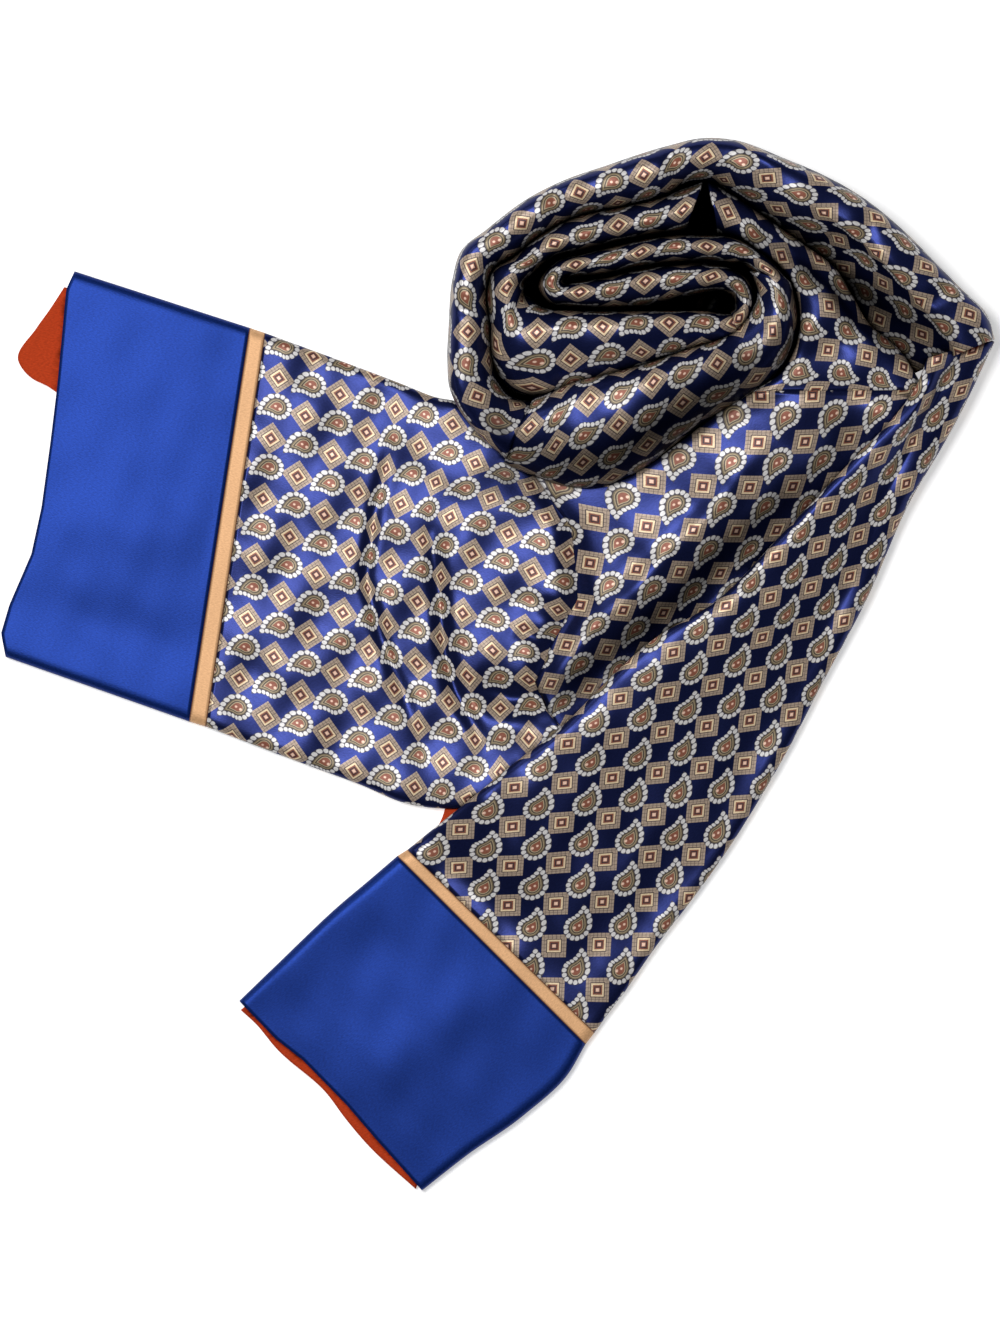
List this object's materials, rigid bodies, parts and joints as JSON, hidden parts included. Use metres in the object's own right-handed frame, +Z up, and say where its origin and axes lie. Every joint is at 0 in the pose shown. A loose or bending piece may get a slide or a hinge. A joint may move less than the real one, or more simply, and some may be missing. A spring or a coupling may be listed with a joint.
{
  "type": "neck scarf",
  "caption": "Long silk neck scarf folded lengthwise and laid flat, its middle rolled into a standing coil, two tails out, paisley print with plain borders.",
  "frame": {"origin": "middle of the bounding box, on the surface that the scarf lies on", "axes": "+Z up, +Y towards the coil's far side, +X to the right as pictured from above"},
  "size_m": [0.3751, 0.3989, 0.042],
  "materials": {
    "border_silk": "satin silk twill, plain royal blue",
    "band_silk": "satin silk twill, plain tan",
    "paisley_silk": "satin silk twill, navy with a small paisley and square repeat",
    "lining_cloth": "soft matt weave, plain rust"
  },
  "bodies": {
    "root": {"right_tail_border": "border_silk", "right_tail_band": "band_silk", "right_tail_field": "paisley_silk", "outer_turn": "paisley_silk", "lower_turn": "paisley_silk", "heart": "paisley_silk", "inner_turn": "paisley_silk", "side_turn": "paisley_silk", "middle_stretch": "paisley_silk", "left_tail_field": "paisley_silk", "left_tail_band": "band_silk", "left_tail_border": "border_silk", "left_tail_lining": "lining_cloth", "right_tail_lining": "lining_cloth", "hidden_layers": "paisley_silk"}
  },
  "joints": []
}
